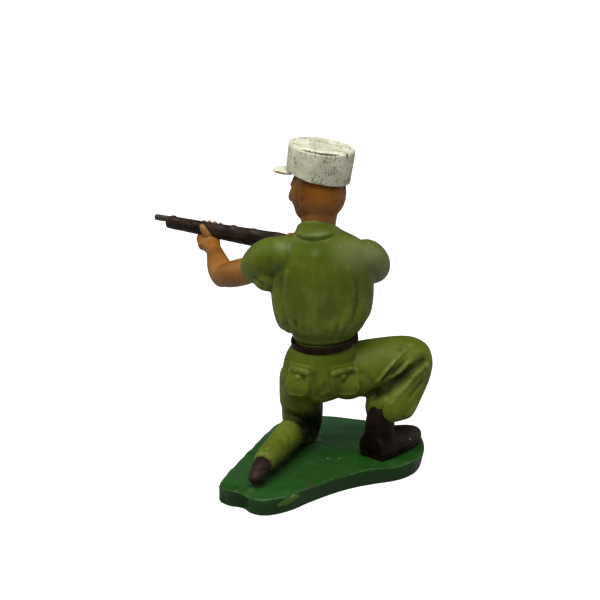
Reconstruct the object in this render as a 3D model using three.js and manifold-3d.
// A kneeling rifleman statuette: a painted figure of about 1/28 scale on a ground plate.
// Millimetres, +Z up, +Y the way the chest faces, +X the figure's right hand side.
// The origin is on the underside of the ground plate, below the hips.

import * as THREE from "three";
import { mergeVertices } from "three/addons/utils/BufferGeometryUtils.js";
import Module from "manifold-3d";

const wasm = await Module();
wasm.setup();

// ---- Driving sizes ----------------------------------------------------------------------------

const GAP = 0.3; // clearance of every seat, spigot and peg
const SIDES = 20; // facets around a limb

const BASE_LENGTH = 31.2; // ground plate, along X
const BASE_WIDTH = 31.0; // ground plate, along Y
const BASE_THICKNESS = 2.4;
const BASE_UNDERCUT = 1.1; // how far the underside is set back at the figure's right
const BASE_LEFT = 14.5; // left edge of the plate to the origin
const BASE_NEAR = 19.0; // back edge of the plate to the origin

const PEG_RADIUS = 0.9; // pegs under the boots and the knee
const PEG_LENGTH = 1.7;
const SPIGOT_RADIUS = 1.3; // spigots of the legs, sleeves and waist
const SPIGOT_LENGTH = 1.6;

const HIP_RISE = 12.0; // ground to hip joints
const HIP_SPACING = 6.4; // between the two hip joints
const HIP_TO_BELT = 5.1;
const BELT_HEIGHT = 1.2;
const BELT_THICKNESS = 0.4;
const BUCKLE_THICKNESS = 0.4;
const BELT_RISE = 0.16; // slope of the belt line, up to the figure's right
const BELT_SAG = 0.1; // slope of the belt line, down to the back
const TRUNK_LENGTH = 17.0; // belt to the pit of the neck
const WAIST_SPIGOT_RADIUS = 2.3;
const WAIST_HALF_WIDTH = 4.6;
const WAIST_HALF_DEPTH = 3.8;
const CHEST_HALF_WIDTH = 7.4;
const CHEST_HALF_DEPTH = 4.9;

const THIGH_RADIUS = 4.3; // the thigh that reaches out
const KNEE_RISE = 12.9; // ground to the raised knee
const SHIN_RADIUS = 3.6; // the baggy raised trouser leg
const KNEELING_RADIUS = 3.3; // the thigh that stands on the ground
const CALF_RADIUS = 2.5; // the shin that lies on the ground
const CALF_LENGTH = 13.5; // kneeling knee to trouser hem
const BOOT_LENGTH = 10.2;
const BOOT_HALF_WIDTH = 2.05;
const BOOT_TURN = 44; // degrees from the figure's right toward the front
const BOOT_HEIGHT = 6.6;

const SHOULDER_SPACING = 15.2;
const SHOULDER_DROP = 4.6; // pit of the neck to the shoulder joints
const SLEEVE_RADIUS = 3.1;
const ARM_RADIUS = 1.9;
const WRIST_RADIUS = 1.25;
const HAND_RADIUS = 2.0;

const NECK_RADIUS = 2.4;
const NECK_LENGTH = 3.5;
const COLLAR_HEIGHT = 1.2;
const COLLAR_THICKNESS = 0.4;
const COLLAR_FLARE = 0.3; // how far its lower edge stands out
const HEAD_HALF_LENGTH = 4.15; // brow to nape
const HEAD_HALF_WIDTH = 3.5;
const HEAD_HEIGHT = 7.8; // chin to the cap's lower edge
const HEAD_TURN = 27; // degrees from square left toward the front
const KEPI_RADIUS = 4.8;
const KEPI_HEIGHT = 4.7; // at the middle of the cap
const KEPI_RIM_LIFT = 0.2; // middle of the lower edge above the brow line
const VISOR_REACH = 2.5;
const VISOR_LIFT = 1.1; // visor's root above the brow line
const VISOR_THICKNESS = 0.5;

const RIFLE_LENGTH = 35.8;
const RIFLE_TURN = 29; // degrees from square left toward the front
const MUZZLE_REACH = 2.4; // barrel beyond the fore-end cap
const STOCK_HALF_WIDTH = 1.0;
const BORE_LIFT = 0.5; // bore line above the stock's middle line
const BARREL_RADIUS = 0.45;
const SIGHT_SETBACK = 3.6; // muzzle to front sight
const SIGHT_HEIGHT = 0.45; // blade above the barrel
const BOLT_REACH = 1.1; // stock's side to the bolt's knob
const GRIP_REACH = 9.6; // butt to the trigger hand
const HOLD_BACK = 7.8; // fore-end cap to the supporting hand
const RECEIVER_LENGTH = 6.4;

// ---- Landmarks, worked out from the sizes -----------------------------------------------------

const rad = THREE.MathUtils.degToRad;
const v = (x, y, z) => new THREE.Vector3(x, y, z);
const shift = (p, x, y, z) => v(p.x + x, p.y + y, p.z + z);
const along = (p, direction, distance) => p.clone().addScaledVector(direction, distance);
const mix = (p, q, t) => p.clone().lerp(q, t);

const UP = v(0, 0, 1);
const ACROSS = v(1, 0, 0);
const FORWARD = v(0, 1, 0);

const ground = BASE_THICKNESS + GAP; // soles and knee stand this high
const hips = v(0.4, 0, BASE_THICKNESS + HIP_RISE);
const leftHip = shift(hips, -HIP_SPACING / 2, 0, 0);
const rightHip = shift(hips, HIP_SPACING / 2, 0.2, 0);
const belt = shift(hips, 0.6, 0, HIP_TO_BELT);
const beltNormal = v(-BELT_RISE, -BELT_SAG, 1).normalize();
const neck = shift(belt, -1.05, 0, TRUNK_LENGTH);

const leftKnee = v(leftHip.x + 0.5, 1.1, ground + KNEELING_RADIUS);
const calfDirection = v(-5.2, -11.8, -0.9).normalize();
const leftHem = along(leftKnee, calfDirection, CALF_LENGTH);
const leftToe = along(leftHem, v(-1.9, -4.6, -1.5).normalize(), 4.5);
const rightKnee = v(rightHip.x + 10.3, 2.2, BASE_THICKNESS + KNEE_RISE);
const heel = v(rightHip.x + 4.6, -4.3, ground);
const bootDirection = v(Math.cos(rad(BOOT_TURN)), Math.sin(rad(BOOT_TURN)), 0);
const rightAnkle = shift(along(heel, bootDirection, 1.9), -0.3, 0.4, BOOT_HEIGHT - 1.2);

const leftShoulder = shift(neck, -SHOULDER_SPACING / 2 + 0.7, 0.5, -SHOULDER_DROP + 0.5);
const rightShoulder = shift(neck, SHOULDER_SPACING / 2 - 0.3, 0.8, -SHOULDER_DROP);

const aim = v(-Math.cos(rad(RIFLE_TURN)), Math.sin(rad(RIFLE_TURN)), 0.02).normalize();
const rifleSide = v(Math.sin(rad(RIFLE_TURN)), Math.cos(rad(RIFLE_TURN)), 0);
const butt = shift(rightShoulder, -2.1, 4.9, -0.2);
const grip = along(butt, aim, GRIP_REACH);
const stockLength = RIFLE_LENGTH - MUZZLE_REACH;
const holdReach = stockLength - HOLD_BACK;
const hold = along(butt, aim, holdReach);

const leftSleeveHem = shift(leftShoulder, -3.1, 2.8, -2.8);
const leftElbow = shift(leftShoulder, -7.7, 7.4, -5.3);
const leftWrist = mix(leftElbow, shift(hold, 0.6, -1.6, -2.4), 0.78);
const rightSleeveHem = shift(rightShoulder, 1.0, 3.6, -2.3);
const rightElbow = shift(rightShoulder, 0.9, 6.9, -4.2);
const rightWrist = shift(grip, 2.7, -0.4, -1.5);

const face = v(-Math.cos(rad(HEAD_TURN)), Math.sin(rad(HEAD_TURN)), 0);
const ear = v(face.y, -face.x, 0); // across the head
const headCentre = shift(neck, -0.1, 0.6, NECK_LENGTH + 1.2);
const kepiBase = shift(neck, 0.15, 0.8, HEAD_HEIGHT);
const kepiRim = v(0.23, -0.09, 0.96).normalize(); // its lower edge drops toward the nape
const kepiAxis = v(0.13, -0.05, 1).normalize(); // the cap sits tilted back a little
const visorLine = v(face.x, face.y, -0.07).normalize();

// ---- Solid helpers ----------------------------------------------------------------------------

function toSolid(geometry) {
  const bare = geometry.clone();
  bare.deleteAttribute("normal");
  bare.deleteAttribute("uv");
  const merged = mergeVertices(bare, 1e-5);
  const vertProperties = new Float32Array(merged.attributes.position.array);
  const triVerts = new Uint32Array(merged.index.array);
  return new wasm.Manifold(new wasm.Mesh({ numProp: 3, vertProperties, triVerts }));
}

// A closed limb through rings [centre, half width along `side`, half depth], `grow` fatter all over.
function limb(rings, side, grow = 0, { sides = SIDES, power = 2.2 } = {}) {
  const last = rings.length - 1;
  const middles = [];
  const positions = [];
  const index = [];
  for (let i = 0; i <= last; i += 1) {
    const [centre, halfWidth, halfDepth] = rings[i];
    const before = rings[Math.max(i - 1, 0)][0];
    const after = rings[Math.min(i + 1, last)][0];
    const path = after.clone().sub(before).normalize();
    const wide = side.clone().addScaledVector(path, -side.dot(path)).normalize();
    const deep = path.clone().cross(wide);
    const end = i === 0 ? -grow : i === last ? grow : 0;
    const middle = along(centre, path, end);
    middles.push(middle);
    for (let k = 0; k < sides; k += 1) {
      const angle = (2 * Math.PI * k) / sides;
      const c = Math.cos(angle);
      const s = Math.sin(angle);
      const a = Math.sign(c) * Math.abs(c) ** (2 / power) * (halfWidth + grow);
      const b = Math.sign(s) * Math.abs(s) ** (2 / power) * (halfDepth + grow);
      positions.push(...middle.clone().addScaledVector(wide, a).addScaledVector(deep, b).toArray());
    }
    for (let k = 0; k < sides && i < last; k += 1) {
      const next = (k + 1) % sides;
      const low = i * sides;
      const high = low + sides;
      index.push(low + k, low + next, high + next, low + k, high + next, high + k);
    }
  }
  const firstCap = positions.length / 3;
  positions.push(...middles[0].toArray(), ...middles[last].toArray());
  for (let k = 0; k < sides; k += 1) {
    const next = (k + 1) % sides;
    index.push(firstCap, next, k);
    index.push(firstCap + 1, last * sides + k, last * sides + next);
  }
  const geometry = new THREE.BufferGeometry();
  geometry.setAttribute("position", new THREE.Float32BufferAttribute(positions, 3));
  geometry.setIndex(index);
  return toSolid(geometry);
}

// A straight round rod from p to q.
function rod(p, q, radius, grow = 0, sides = 12) {
  const side = Math.abs(q.z - p.z) > 0.9 * p.distanceTo(q) ? ACROSS : UP;
  return limb([[p, radius, radius], [q, radius, radius]], side, grow, { sides, power: 2 });
}

// An ellipsoid with its radii along `side`, `front` and up, turned so that `front` leads.
function ball(centre, along3, radii, grow = 0, detail = 12) {
  const geometry = new THREE.SphereGeometry(1, detail, Math.round(detail * 0.6));
  geometry.scale(radii[0] + grow, radii[1] + grow, radii[2] + grow);
  const front = along3.clone().normalize();
  const across = front.clone().cross(UP).normalize();
  const top = across.clone().cross(front);
  geometry.applyMatrix4(new THREE.Matrix4().makeBasis(across, front, top));
  geometry.translate(centre.x, centre.y, centre.z);
  return toSolid(geometry);
}

// A box that holds everything below (or above) a level, to cut flat faces.
function halfSpace(level, above) {
  const reach = 200;
  const geometry = new THREE.BoxGeometry(reach, reach, reach);
  geometry.translate(0, 0, above ? level + reach / 2 : level - reach / 2);
  return toSolid(geometry);
}

const join = (...solids) => solids.reduce((whole, next) => whole.add(next));
const cut = (solid, ...tools) => tools.reduce((rest, tool) => rest.subtract(tool), solid);

function finish(name, solid, color, roughness, metalness = 0) {
  const { numProp, vertProperties, triVerts } = solid.getMesh();
  const positions = [];
  for (let i = 0; i < vertProperties.length; i += numProp) {
    positions.push(vertProperties[i], vertProperties[i + 1], vertProperties[i + 2]);
  }
  const geometry = new THREE.BufferGeometry();
  geometry.setAttribute("position", new THREE.Float32BufferAttribute(positions, 3));
  geometry.setIndex(Array.from(triVerts));
  geometry.computeVertexNormals();
  const material = new THREE.MeshStandardMaterial({ color, roughness, metalness });
  const mesh = new THREE.Mesh(geometry, material);
  mesh.name = name;
  return mesh;
}

// ---- Ground plate -----------------------------------------------------------------------------

// The plate's irregular outline, in parts of its length and width, counted from its back left corner.
const BASE_OUTLINE = [
  [0.0, 0.17], [0.045, 0.3], [0.2, 0.745], [0.26, 0.88], [0.36, 0.975], [0.49, 1.0], [0.7, 0.93],
  [0.9, 0.85], [0.975, 0.78], [1.0, 0.6], [0.955, 0.44], [0.86, 0.36], [0.7, 0.32], [0.59, 0.27],
  [0.42, 0.145], [0.345, 0.06], [0.23, 0.0], [0.15, 0.035], [0.11, 0.1], [0.03, 0.115],
];

function basePlate() {
  const corner = v(-BASE_LEFT, -BASE_NEAR, 0);
  const points = BASE_OUTLINE.map(
    ([x, y]) => new THREE.Vector2(corner.x + x * BASE_LENGTH, corner.y + y * BASE_WIDTH),
  );
  const geometry = new THREE.ExtrudeGeometry(new THREE.Shape(points.reverse()), {
    depth: BASE_THICKNESS,
    bevelEnabled: false,
  });
  const position = geometry.attributes.position;
  const underScale = 1 - BASE_UNDERCUT / BASE_LENGTH;
  for (let i = 0; i < position.count; i += 1) {
    if (position.getZ(i) < BASE_THICKNESS / 2) {
      position.setX(i, corner.x + (position.getX(i) - corner.x) * underScale);
    }
  }
  return toSolid(geometry);
}

// ---- Boots and trousers -----------------------------------------------------------------------

// A round peg that hangs below a sole or the knee and glues into the plate.
function peg(x, y, grow = 0) {
  return rod(v(x, y, BASE_THICKNESS - PEG_LENGTH), v(x, y, ground + PEG_RADIUS), PEG_RADIUS, grow);
}

const heelPeg = along(heel, bootDirection, BOOT_LENGTH * 0.45);
const toePeg = mix(leftHem, leftToe, 0.35);

function rightBoot(grow) {
  const low = 1.55;
  const step = (t, lift) => shift(along(heel, bootDirection, BOOT_LENGTH * t), 0, 0, lift);
  const across = bootDirection.clone().cross(UP);
  const foot = limb(
    [
      [step(0.02, low), BOOT_HALF_WIDTH * 0.72, low * 0.95],
      [step(0.12, low), BOOT_HALF_WIDTH * 0.95, low * 1.1],
      [step(0.4, low), BOOT_HALF_WIDTH * 0.95, low * 1.05],
      [step(0.68, low * 0.85), BOOT_HALF_WIDTH * 1.08, low * 0.85],
      [step(0.88, low * 0.68), BOOT_HALF_WIDTH * 0.95, low * 0.68],
      [step(1.0, low * 0.5), BOOT_HALF_WIDTH * 0.45, low * 0.45],
    ],
    across,
    grow,
    { power: 2.8 },
  );
  const shaft = limb(
    [
      [step(0.25, low), BOOT_HALF_WIDTH * 0.95, BOOT_HALF_WIDTH * 1.1],
      [shift(rightAnkle, 0.1, 0, 0), BOOT_HALF_WIDTH, BOOT_HALF_WIDTH * 1.15],
      [shift(rightAnkle, 0.9, 0.3, 2.4), BOOT_HALF_WIDTH, BOOT_HALF_WIDTH * 1.1],
    ],
    across,
    grow,
  );
  return cut(join(foot, shaft), halfSpace(ground - grow, false));
}

function leftBoot(grow) {
  const upper = limb(
    [
      [mix(leftKnee, leftHem, 0.86), 1.35, 1.25],
      [leftHem, 1.45, 1.35],
      [mix(leftHem, leftToe, 0.5), 1.3, 1.3],
      [leftToe, 0.7, 0.7],
    ],
    ACROSS,
    grow,
  );
  return cut(upper, halfSpace(ground - grow, false));
}

function rightTrouserLeg(grow) {
  const thigh = limb(
    [
      [mix(rightHip, rightKnee, 0.12), THIGH_RADIUS, THIGH_RADIUS],
      [mix(rightHip, rightKnee, 0.45), THIGH_RADIUS, THIGH_RADIUS * 1.02],
      [mix(rightHip, rightKnee, 0.85), THIGH_RADIUS * 0.93, THIGH_RADIUS * 0.9],
      [mix(rightHip, rightKnee, 1.12), THIGH_RADIUS * 0.72, THIGH_RADIUS * 0.7],
      [mix(rightHip, rightKnee, 1.27), THIGH_RADIUS * 0.35, THIGH_RADIUS * 0.35],
    ],
    UP,
    grow,
  );
  const shin = limb(
    [
      [shift(rightKnee, 0.3, 0.2, 2.2), SHIN_RADIUS * 0.6, SHIN_RADIUS * 0.6],
      [shift(rightKnee, 0.2, 0, 0), SHIN_RADIUS * 0.98, SHIN_RADIUS],
      [shift(mix(rightKnee, rightAnkle, 0.45), 0.4, 0, 0), SHIN_RADIUS * 1.02, SHIN_RADIUS],
      [shift(mix(rightKnee, rightAnkle, 0.75), 0.8, 0, 0), SHIN_RADIUS * 1.02, SHIN_RADIUS * 0.95],
      [shift(rightAnkle, 1.2, 0.5, -0.3), SHIN_RADIUS * 0.88, SHIN_RADIUS * 0.78],
    ],
    ACROSS,
    grow,
  );
  return join(thigh, shin);
}

function leftTrouserLeg(grow) {
  const thigh = limb(
    [
      [mix(leftHip, leftKnee, 0.3), KNEELING_RADIUS, KNEELING_RADIUS * 1.12],
      [mix(leftHip, leftKnee, 0.65), KNEELING_RADIUS, KNEELING_RADIUS * 1.05],
      [leftKnee, KNEELING_RADIUS * 0.95, KNEELING_RADIUS * 0.95],
      [shift(leftKnee, 0.1, 0.3, -KNEELING_RADIUS * 0.97), KNEELING_RADIUS * 0.6, KNEELING_RADIUS * 0.6],
    ],
    ACROSS,
    grow,
  );
  const calf = limb(
    [
      [mix(leftKnee, leftHem, -0.12), CALF_RADIUS * 0.7, CALF_RADIUS * 0.8],
      [mix(leftKnee, leftHem, 0.1), CALF_RADIUS * 1.05, CALF_RADIUS * 1.05],
      [mix(leftKnee, leftHem, 0.5), CALF_RADIUS, CALF_RADIUS],
      [mix(leftKnee, leftHem, 0.85), CALF_RADIUS * 0.82, CALF_RADIUS * 0.8],
      [leftHem, CALF_RADIUS * 0.68, CALF_RADIUS * 0.66],
    ],
    ACROSS,
    grow,
  );
  return cut(join(thigh, calf), halfSpace(ground - grow, false));
}

function seat(grow) {
  return limb(
    [
      [shift(hips, 0.2, 0, -4.3), HIP_SPACING * 0.42, 2.9],
      [shift(hips, 0.1, 0, -3.0), HIP_SPACING * 0.75, 4.1],
      [shift(hips, 0.0, 0, -0.6), HIP_SPACING * 0.93, 4.8],
      [shift(hips, 0.2, 0, 1.6), HIP_SPACING * 0.9, 4.6],
      [belt, WAIST_HALF_WIDTH, WAIST_HALF_DEPTH],
    ],
    ACROSS,
    grow,
  );
}

// A hip pocket: a raised pouch with a flap and a button, standing out of the back of the seat.
function hipPocket(side) {
  const middle = shift(hips, side * 3.6 - 0.2, -4.4, 0.8);
  const out = v(side * 0.45, -1, 0).normalize();
  const wide = v(1, side * 0.45, 0).normalize();
  const pad = (drop, halfWidth, height, thick) =>
    limb(
      [
        [along(shift(middle, 0, 0, drop), out, -1.6), halfWidth, height],
        [along(shift(middle, 0, 0, drop), out, thick), halfWidth, height],
      ],
      wide,
      0,
      { sides: 12, power: 5 },
    );
  const buttonFoot = shift(middle, 0, 0, 0.9);
  const button = rod(buttonFoot, along(buttonFoot, out, 1.0), 0.35);
  return join(pad(-0.6, 1.75, 1.7, 0.35), pad(1.2, 1.95, 0.6, 0.6), button);
}

// ---- Belt -------------------------------------------------------------------------------------

// The belt's band, closed as a disc across the waist. The seat and the shirt end on its two faces.
function beltBand(grow) {
  const half = BELT_HEIGHT / 2;
  const width = WAIST_HALF_WIDTH + BELT_THICKNESS;
  const depth = WAIST_HALF_DEPTH + BELT_THICKNESS;
  return limb(
    [[along(belt, beltNormal, -half), width, depth], [along(belt, beltNormal, half), width, depth]],
    ACROSS,
    grow,
    { sides: 28 },
  );
}

// Everything above the band, or below it, to end the seat and the shirt at the belt.
function beyondBelt(side) {
  const face = BELT_HEIGHT / 2 + GAP;
  const start = along(belt, beltNormal, -side * face);
  const end = along(belt, beltNormal, side * TRUNK_LENGTH);
  return rod(start, end, 2 * BASE_LENGTH, 0, 8);
}

// The round spigot of the shirt that passes through the belt into the seat.
function waistSpigot(grow) {
  const reach = SPIGOT_LENGTH + BELT_HEIGHT;
  return rod(along(belt, beltNormal, -reach), along(belt, beltNormal, reach), WAIST_SPIGOT_RADIUS, grow, 16);
}

function buckle(grow) {
  const front = shift(belt, 0.1, WAIST_HALF_DEPTH + BELT_THICKNESS + GAP, 0);
  return limb(
    [
      [front, BELT_HEIGHT * 0.85, BELT_HEIGHT * 0.62],
      [along(front, FORWARD, BUCKLE_THICKNESS), BELT_HEIGHT * 0.75, BELT_HEIGHT * 0.54],
    ],
    ACROSS,
    grow,
    { sides: 12, power: 5 },
  );
}

// ---- Shirt ------------------------------------------------------------------------------------

function torso(grow) {
  const level = (t, x = 0, y = 0) => shift(mix(belt, neck, t), x, y, 0);
  return limb(
    [
      [belt, WAIST_HALF_WIDTH, WAIST_HALF_DEPTH],
      [level(0.11, -0.1), WAIST_HALF_WIDTH + 1.15, WAIST_HALF_DEPTH + 0.8],
      [level(0.2, -0.15), WAIST_HALF_WIDTH + 1.95, WAIST_HALF_DEPTH + 1.1],
      [level(0.37, -0.2), CHEST_HALF_WIDTH * 0.98, CHEST_HALF_DEPTH],
      [level(0.54, -0.05), CHEST_HALF_WIDTH, CHEST_HALF_DEPTH],
      [level(0.7, 0.2), CHEST_HALF_WIDTH, CHEST_HALF_DEPTH * 0.96],
      [level(0.83, 0.2), CHEST_HALF_WIDTH * 0.9, CHEST_HALF_DEPTH * 0.85],
      [level(0.92), CHEST_HALF_WIDTH * 0.62, CHEST_HALF_DEPTH * 0.72],
      [level(1.0), NECK_RADIUS + 0.9, NECK_RADIUS + 0.9],
    ],
    ACROSS,
    grow,
  );
}

function collar(grow) {
  const back = v(0.1, -0.3, 1).normalize();
  const foot = shift(neck, 0, 0.1, -0.2);
  const outer = NECK_RADIUS + COLLAR_THICKNESS + GAP;
  return limb(
    [
      [foot, outer + COLLAR_FLARE, outer + COLLAR_FLARE],
      [along(foot, back, COLLAR_HEIGHT), outer, outer],
    ],
    ACROSS,
    grow,
    { sides: 24 },
  );
}

function leftSleeve(grow) {
  return limb(
    [
      [shift(leftShoulder, 2.2, -0.6, 0.6), SLEEVE_RADIUS * 0.8, SLEEVE_RADIUS * 0.85],
      [shift(leftShoulder, 0.6, 0, 0.1), SLEEVE_RADIUS, SLEEVE_RADIUS * 1.02],
      [shift(mix(leftShoulder, leftSleeveHem, 0.5), 0, 0, 0.2), SLEEVE_RADIUS * 1.05, SLEEVE_RADIUS * 1.05],
      [leftSleeveHem, SLEEVE_RADIUS * 0.84, SLEEVE_RADIUS * 0.86],
    ],
    UP,
    grow,
  );
}

function rightSleeve(grow) {
  return limb(
    [
      [shift(rightShoulder, -2.0, -0.8, 0.3), SLEEVE_RADIUS * 0.75, SLEEVE_RADIUS * 0.8],
      [shift(rightShoulder, -0.3, -0.1, 0.2), SLEEVE_RADIUS * 0.95, SLEEVE_RADIUS * 0.95],
      [mix(rightShoulder, rightSleeveHem, 0.5), SLEEVE_RADIUS, SLEEVE_RADIUS * 0.95],
      [rightSleeveHem, SLEEVE_RADIUS * 0.84, SLEEVE_RADIUS * 0.84],
    ],
    UP,
    grow,
  );
}

// A glued spigot that locates a sleeve in the shirt.
function shoulderSpigot(shoulder, grow) {
  const inward = shift(neck, 0, 0, -SHOULDER_DROP - 1).sub(shoulder).normalize();
  const start = along(shoulder, inward, -SPIGOT_LENGTH);
  return rod(start, along(shoulder, inward, 2 * SPIGOT_LENGTH), SPIGOT_RADIUS, grow);
}

// ---- Arms and hands ---------------------------------------------------------------------------

function arm(sleeveHem, shoulder, elbow, wrist, grow) {
  const upper = limb(
    [
      [mix(shoulder, sleeveHem, 0.55), ARM_RADIUS * 0.95, ARM_RADIUS * 0.95],
      [sleeveHem, ARM_RADIUS, ARM_RADIUS],
      [mix(sleeveHem, elbow, 0.9), ARM_RADIUS * 0.9, ARM_RADIUS * 0.9],
      [mix(sleeveHem, elbow, 1.12), ARM_RADIUS * 0.45, ARM_RADIUS * 0.45],
    ],
    UP,
    grow,
    { sides: 16 },
  );
  const fore = limb(
    [
      [mix(elbow, wrist, -0.22), ARM_RADIUS * 0.5, ARM_RADIUS * 0.5],
      [elbow, ARM_RADIUS * 0.88, ARM_RADIUS * 0.88],
      [mix(elbow, wrist, 0.4), ARM_RADIUS * 0.86, ARM_RADIUS * 0.84],
      [wrist, WRIST_RADIUS, WRIST_RADIUS],
    ],
    UP,
    grow,
    { sides: 16 },
  );
  return join(upper, fore);
}

const leftArm = (grow) => arm(leftSleeveHem, leftShoulder, leftElbow, leftWrist, grow);
const rightArm = (grow) => arm(rightSleeveHem, rightShoulder, rightElbow, rightWrist, grow);

// The supporting hand: a palm under the fore-end, a thumb on the near side and fingers on the far.
function leftHand(grow) {
  const palmRadii = [HAND_RADIUS * 1.3, HAND_RADIUS, HAND_RADIUS * 0.7];
  const palm = ball(shift(hold, 0.2, -0.2, -1.9), aim, palmRadii, grow);
  const near = along(hold, rifleSide, -STOCK_HALF_WIDTH - 0.85);
  const far = along(hold, rifleSide, STOCK_HALF_WIDTH + 0.85);
  const thumb = limb(
    [[shift(near, 0.4, 0, -1.9), 0.65, 0.65], [shift(near, -0.5, 0.2, 0.9), 0.5, 0.45]],
    aim,
    grow,
    { sides: 10 },
  );
  const fingers = limb(
    [[shift(far, 0, 0, -1.9), 1.5, 0.65], [shift(far, 0, 0, 0.5), 1.3, 0.45]],
    aim,
    grow,
    { sides: 12 },
  );
  const wristFoot = mix(leftElbow, leftWrist, 1.08);
  const wristEnd = rod(wristFoot, shift(hold, 0.4, -0.9, -1.9), WRIST_RADIUS * 0.95, grow);
  return join(palm, thumb, fingers, wristEnd);
}

// The trigger hand: a fist around the wrist of the stock.
function rightHand(grow) {
  const fistRadii = [HAND_RADIUS, HAND_RADIUS * 0.95, HAND_RADIUS * 0.95];
  const fist = ball(shift(grip, 0.5, -0.2, -0.7), aim, fistRadii, grow);
  const wristFoot = mix(rightElbow, rightWrist, 1.06);
  const wristEnd = rod(wristFoot, shift(grip, 0.8, -0.3, -0.9), WRIST_RADIUS * 0.95, grow);
  return join(fist, wristEnd);
}

// ---- Rifle ------------------------------------------------------------------------------------

function stock(grow) {
  const station = (distance, drop) => shift(along(butt, aim, distance), 0, 0, drop);
  return limb(
    [
      [station(0, -0.5), STOCK_HALF_WIDTH * 0.95, 1.75],
      [station(5.4, -0.25), STOCK_HALF_WIDTH * 0.95, 1.3],
      [station(GRIP_REACH - 1.0, -0.15), STOCK_HALF_WIDTH * 0.85, 0.85],
      [station(GRIP_REACH + 1.4, -0.2), STOCK_HALF_WIDTH, 1.25],
      [station(GRIP_REACH + RECEIVER_LENGTH, -0.2), STOCK_HALF_WIDTH, 1.25],
      [station(holdReach, -0.1), STOCK_HALF_WIDTH * 0.92, 0.95],
      [station(stockLength, 0), STOCK_HALF_WIDTH * 0.8, 0.8],
    ],
    rifleSide,
    grow,
    { sides: 14, power: 2.6 },
  );
}

const boreLine = (distance) => shift(along(butt, aim, distance), 0, 0, BORE_LIFT);

function barrel(grow) {
  return rod(boreLine(GRIP_REACH + RECEIVER_LENGTH), boreLine(RIFLE_LENGTH), BARREL_RADIUS, grow, 10);
}

function frontSight() {
  const foot = boreLine(RIFLE_LENGTH - SIGHT_SETBACK);
  const tip = shift(foot, 0, 0, BARREL_RADIUS + SIGHT_HEIGHT);
  return limb([[foot, 0.5, 0.14], [tip, 0.25, 0.12]], aim, 0, { sides: 8, power: 4 });
}

function receiver(grow) {
  const start = boreLine(GRIP_REACH + 0.8);
  const end = boreLine(GRIP_REACH + RECEIVER_LENGTH - GAP);
  return rod(start, end, BARREL_RADIUS * 1.35, grow, 12);
}

function boltHandle(grow) {
  const root = shift(boreLine(GRIP_REACH + 2.4), 0, 0, BARREL_RADIUS / 2);
  const knob = along(root, rifleSide, STOCK_HALF_WIDTH + BOLT_REACH);
  const stem = rod(root, knob, 0.28, grow, 8);
  return join(stem, ball(knob, aim, [0.5, 0.5, 0.5], grow, 10));
}

function magazine(grow) {
  const under = (distance, drop) => shift(along(butt, aim, distance), 0, 0, drop);
  return limb(
    [
      [under(GRIP_REACH + 2.3, -1.7 - GAP), 0.4, 0.55],
      [under(GRIP_REACH + 2.8, -1.95 - GAP), 0.5, 0.7],
      [under(GRIP_REACH + 5.0, -1.95 - GAP), 0.5, 0.7],
      [under(GRIP_REACH + 5.6, -1.6 - GAP), 0.4, 0.45],
    ],
    rifleSide,
    grow,
    { sides: 10, power: 4 },
  );
}

// ---- Head and kepi ----------------------------------------------------------------------------

function skull(grow) {
  const cranium = ball(
    shift(headCentre, 0, -0.1, 0.9),
    face,
    [HEAD_HALF_WIDTH, HEAD_HALF_LENGTH, HEAD_HEIGHT * 0.6],
    grow,
    20,
  );
  const jaw = limb(
    [
      [along(shift(headCentre, 0, 0, 1.5), face, 0.7), HEAD_HALF_WIDTH * 0.9, HEAD_HALF_LENGTH * 0.82],
      [along(shift(headCentre, 0, 0, -0.6), face, 1.0), HEAD_HALF_WIDTH * 0.83, HEAD_HALF_LENGTH * 0.72],
      [along(shift(headCentre, 0, 0, -2.6), face, 1.9), HEAD_HALF_WIDTH * 0.6, HEAD_HALF_LENGTH * 0.4],
      [along(shift(headCentre, 0, 0, -3.2), face, 2.2), HEAD_HALF_WIDTH * 0.35, HEAD_HALF_LENGTH * 0.2],
    ],
    ear,
    grow,
  );
  return join(cranium, jaw);
}

const neckColumn = (grow) =>
  limb(
    [
      [shift(neck, 0, 0, -SPIGOT_LENGTH - 0.6), NECK_RADIUS * 0.9, NECK_RADIUS * 0.9],
      [neck, NECK_RADIUS, NECK_RADIUS],
      [shift(headCentre, 0.2, -0.2, 0.5), NECK_RADIUS * 1.05, NECK_RADIUS * 1.15],
    ],
    ear,
    grow,
  );

function features() {
  const nose = limb(
    [
      [along(shift(headCentre, 0, 0, 1.4), face, HEAD_HALF_LENGTH - 0.5), 0.35, 0.4],
      [along(shift(headCentre, 0, 0, -0.2), face, HEAD_HALF_LENGTH - 0.15), 0.6, 0.75],
      [along(shift(headCentre, 0, 0, -0.7), face, HEAD_HALF_LENGTH - 0.5), 0.45, 0.5],
    ],
    ear,
    0,
    { sides: 10 },
  );
  const earShell = (side) =>
    ball(
      along(along(shift(headCentre, 0, 0, 0.5), ear, side * HEAD_HALF_WIDTH * 0.97), face, -0.3),
      face,
      [0.5, 0.75, 1.1],
      0,
      10,
    );
  return join(nose, earShell(1), earShell(-1));
}

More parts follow.
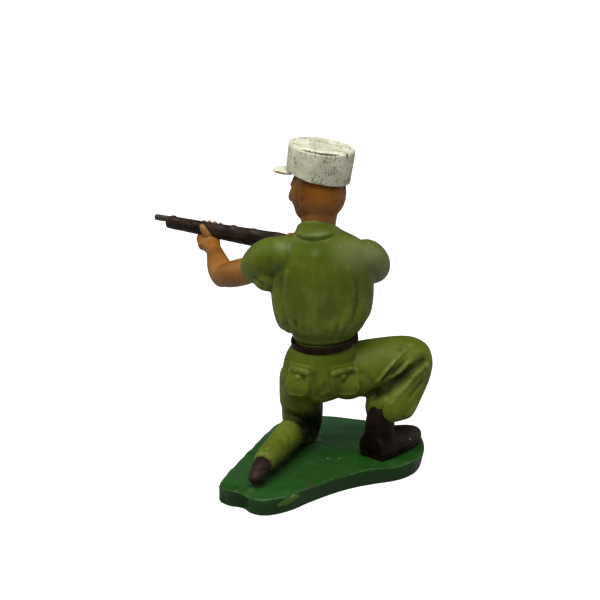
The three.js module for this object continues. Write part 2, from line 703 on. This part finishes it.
// The cap's cloth body: nearly upright walls, a flat top and a lower edge that drops at the back.
function kepi(grow) {
  const level = (t) => along(kepiBase, kepiAxis, KEPI_HEIGHT * t);
  const body = limb(
    [
      [level(-0.3), KEPI_RADIUS * 0.91, KEPI_RADIUS * 0.94],
      [level(0.25), KEPI_RADIUS * 0.96, KEPI_RADIUS],
      [level(0.9), KEPI_RADIUS * 0.96, KEPI_RADIUS],
      [level(1.0), KEPI_RADIUS * 0.9, KEPI_RADIUS * 0.94],
    ],
    ear,
    grow,
    { sides: 28, power: 2 },
  );
  const rimMiddle = shift(kepiBase, 0, 0, KEPI_RIM_LIFT);
  const cutTop = along(rimMiddle, kepiRim, -grow);
  const below = rod(cutTop, along(rimMiddle, kepiRim, -KEPI_HEIGHT), 3 * KEPI_RADIUS, 0, 8);
  return cut(body, below);
}

// The peak: a thin tongue that leaves the cap's lower edge and runs level to its tip.
function visor() {
  const brow = shift(kepiBase, 0, 0, VISOR_LIFT);
  const root = along(brow, visorLine, KEPI_RADIUS * 0.55);
  const tip = along(brow, visorLine, KEPI_RADIUS + VISOR_REACH);
  const half = VISOR_THICKNESS / 2;
  return limb(
    [
      [root, KEPI_RADIUS * 0.62, half],
      [mix(root, tip, 0.55), KEPI_RADIUS * 0.58, half],
      [mix(root, tip, 0.85), KEPI_RADIUS * 0.42, half],
      [tip, KEPI_RADIUS * 0.16, half * 0.8],
    ],
    ear,
    0,
    { sides: 16, power: 3 },
  );
}

// ---- Assembly ---------------------------------------------------------------------------------

const WHITE = 0xc9c9b4;
const SKIN = 0x8a5c2c;
const GREEN = 0x5b6d2c;
const LEATHER = 0x33261c;
const GRASS = 0x23481f;
const GUNMETAL = 0x3a332a;
const STEEL_BLACK = 0x2b2723;
const BRASS = 0x8a7434;

const kneePeg = (grow) => peg(leftKnee.x, leftKnee.y, grow);
const bootPeg = (grow) => peg(heelPeg.x, heelPeg.y, grow);
const toePegSolid = (grow) => peg(toePeg.x, toePeg.y, grow);
const legSpigot = (hip, knee, grow) =>
  rod(mix(hip, knee, 0.45), mix(hip, hips, 0.55), SPIGOT_RADIUS, grow);
const rightLegSpigot = (grow) => legSpigot(rightHip, rightKnee, grow);
const leftLegSpigot = (grow) => legSpigot(leftHip, leftKnee, grow);

const rifleSolid = (grow) => join(stock(grow), barrel(grow), receiver(grow));
const headSolid = (grow) => join(skull(grow), neckColumn(grow));
const leftSpigot = (grow) => shoulderSpigot(leftShoulder, grow);
const rightSpigot = (grow) => shoulderSpigot(rightShoulder, grow);

const pieces = [
  finish("base_plate", cut(basePlate(), kneePeg(GAP), bootPeg(GAP), toePegSolid(GAP)), GRASS, 0.35),
  finish("right_boot", join(rightBoot(0), bootPeg(0)), LEATHER, 0.45),
  finish("left_boot", join(leftBoot(0), toePegSolid(0)), LEATHER, 0.45),
  finish(
    "right_trouser_leg",
    cut(join(rightTrouserLeg(0), rightLegSpigot(0)), rightBoot(GAP), beyondBelt(1)),
    GREEN,
    0.4,
  ),
  finish(
    "left_trouser_leg",
    join(
      cut(leftTrouserLeg(0), leftBoot(GAP), rightTrouserLeg(GAP)),
      cut(join(leftLegSpigot(0), kneePeg(0)), rightTrouserLeg(GAP)),
    ),
    GREEN,
    0.4,
  ),
  finish(
    "trouser_seat",
    cut(
      join(seat(0), hipPocket(-1), hipPocket(1)),
      rightTrouserLeg(GAP),
      leftTrouserLeg(GAP),
      rightLegSpigot(GAP),
      leftLegSpigot(GAP),
      beyondBelt(1),
      waistSpigot(GAP),
    ),
    GREEN,
    0.4,
  ),
  finish("belt", cut(beltBand(0), waistSpigot(GAP)), LEATHER, 0.45),
  finish("belt_buckle", cut(buckle(0), beltBand(GAP)), BRASS, 0.4, 0.6),
  finish(
    "shirt_body",
    cut(
      join(cut(torso(0), beyondBelt(-1)), waistSpigot(0)),
      headSolid(GAP),
      leftSpigot(GAP),
      rightSpigot(GAP),
    ),
    GREEN,
    0.4,
  ),
  finish("shirt_collar", cut(collar(0), headSolid(GAP), torso(GAP)), GREEN, 0.4),
  finish(
    "left_sleeve",
    cut(join(cut(leftSleeve(0), torso(GAP)), leftSpigot(0)), leftArm(GAP)),
    GREEN,
    0.4,
  ),
  finish(
    "right_sleeve",
    cut(join(cut(rightSleeve(0), torso(GAP)), rightSpigot(0)), rightArm(GAP)),
    GREEN,
    0.4,
  ),
  finish("left_arm", cut(leftArm(0), torso(GAP)), SKIN, 0.45),
  finish("right_arm", cut(rightArm(0), torso(GAP), rifleSolid(GAP)), SKIN, 0.45),
  finish("left_hand", cut(leftHand(0), leftArm(GAP), rifleSolid(GAP)), SKIN, 0.45),
  finish("right_hand", cut(rightHand(0), rightArm(GAP), rifleSolid(GAP)), SKIN, 0.45),
  finish("head", cut(join(headSolid(0), features()), kepi(GAP)), SKIN, 0.45),
  finish("kepi_crown", kepi(0), WHITE, 0.5),
  finish("kepi_visor", cut(visor(), kepi(GAP), skull(GAP)), WHITE, 0.5),
  finish(
    "rifle_stock",
    cut(stock(0), barrel(GAP), receiver(GAP), boltHandle(GAP), torso(GAP), rightSleeve(GAP)),
    GUNMETAL,
    0.5,
  ),
  finish("rifle_barrel", join(barrel(0), frontSight()), STEEL_BLACK, 0.4, 0.3),
  finish("rifle_bolt", join(receiver(0), boltHandle(0)), STEEL_BLACK, 0.4, 0.3),
  finish("rifle_magazine", cut(magazine(0), stock(GAP)), STEEL_BLACK, 0.4, 0.3),
];

export default new THREE.Group().add(...pieces);
